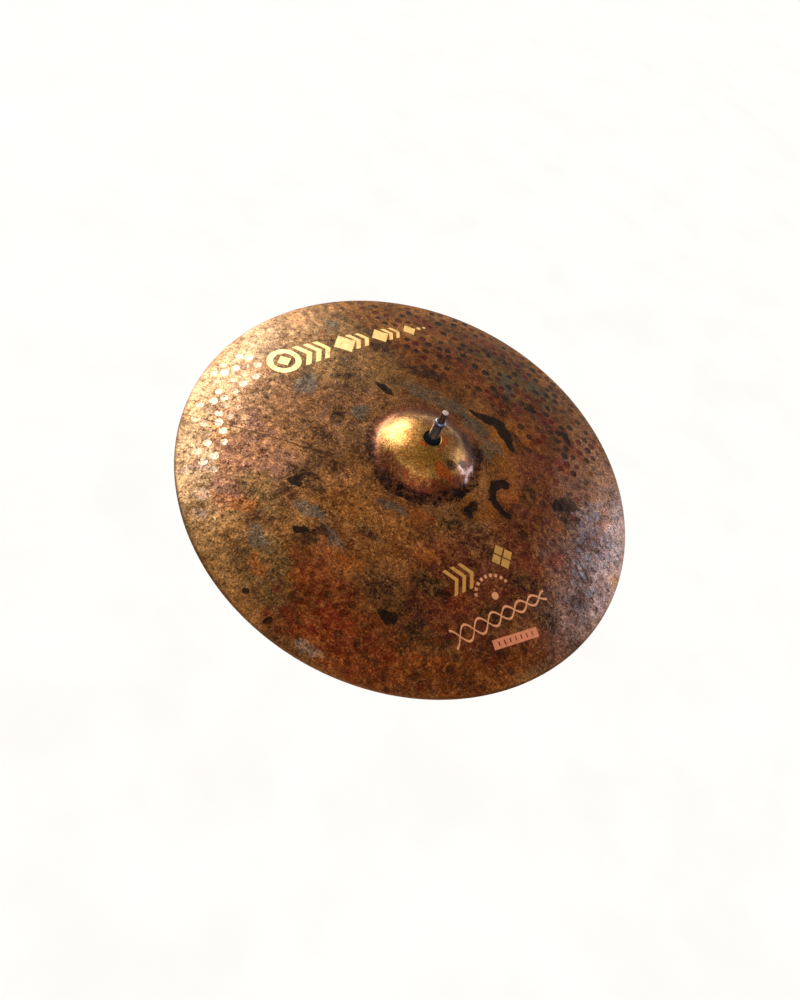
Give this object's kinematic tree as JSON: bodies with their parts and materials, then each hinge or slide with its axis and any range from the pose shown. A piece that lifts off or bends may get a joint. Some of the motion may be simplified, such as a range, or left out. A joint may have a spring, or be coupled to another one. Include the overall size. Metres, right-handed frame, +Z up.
{
  "type": "hand-hammered cymbal on a tilting stand mount",
  "caption": "Hammered bronze cymbal with a domed bell, resting on a felt and sleeve on the post of a friction tilter that clamps on a stand tube.",
  "frame": {"origin": "centre of the mouth of the socket that takes the stand tube, at the foot of the tilter", "axes": "+Z up along the socket, the post and the cymbal's axis; the tilter pivots about Y, and the wing grip points to -Y"},
  "size_m": [0.3556, 0.3556, 0.122],
  "materials": {
    "bronze": "raw hand-hammered bronze with a burnt, blotched patina",
    "bright_chrome": "polished plating",
    "cast_chrome": "plated casting, slightly soft edges",
    "zinc_steel": "zinc plated",
    "dark_steel": "oil blackened",
    "red_fibre": "vulcanised fibre",
    "felt": "pressed wool felt",
    "black_nylon": "moulded nylon"
  },
  "bodies": {
    "tilter_base": {"tilter_base": "cast_chrome", "socket_set_screw": "dark_steel", "friction_disc": "red_fibre", "flat_washer": "zinc_steel"},
    "wing_bolt": {"wing_grip": "cast_chrome", "clamp_screw": "zinc_steel", "spring_washer": "zinc_steel"},
    "tilter_head": {"tilter_head": "cast_chrome", "hex_nut": "zinc_steel", "post": "bright_chrome", "roll_pin": "dark_steel", "cup_washer": "bright_chrome", "lower_felt": "felt"},
    "sleeve": {"sleeve": "black_nylon"},
    "cymbal": {"cymbal": "bronze"}
  },
  "joints": [
    {"name": "tilter_tilt", "type": "hinge", "parent": "tilter_base", "child": "tilter_head", "pos_m": [0, 0, 0.046], "axis": [0, 1, 0], "range_deg": [-75, 75]},
    {"name": "wing_bolt_turn", "type": "hinge", "parent": "tilter_base", "child": "wing_bolt", "pos_m": [0, 0, 0.046], "axis": [0, -1, 0], "range_deg": [0, 360]},
    {"name": "cymbal_spin", "type": "hinge", "parent": "tilter_head", "child": "sleeve", "pos_m": [0, 0, 0.0837], "axis": [0, 0, 1], "continuous": true},
    {"name": "cymbal_rock", "type": "hinge", "parent": "sleeve", "child": "cymbal", "pos_m": [0, 0, 0.09135], "axis": [1, 0, 0], "range_deg": [-10, 10], "deforming": ["lower_felt"]}
  ]
}
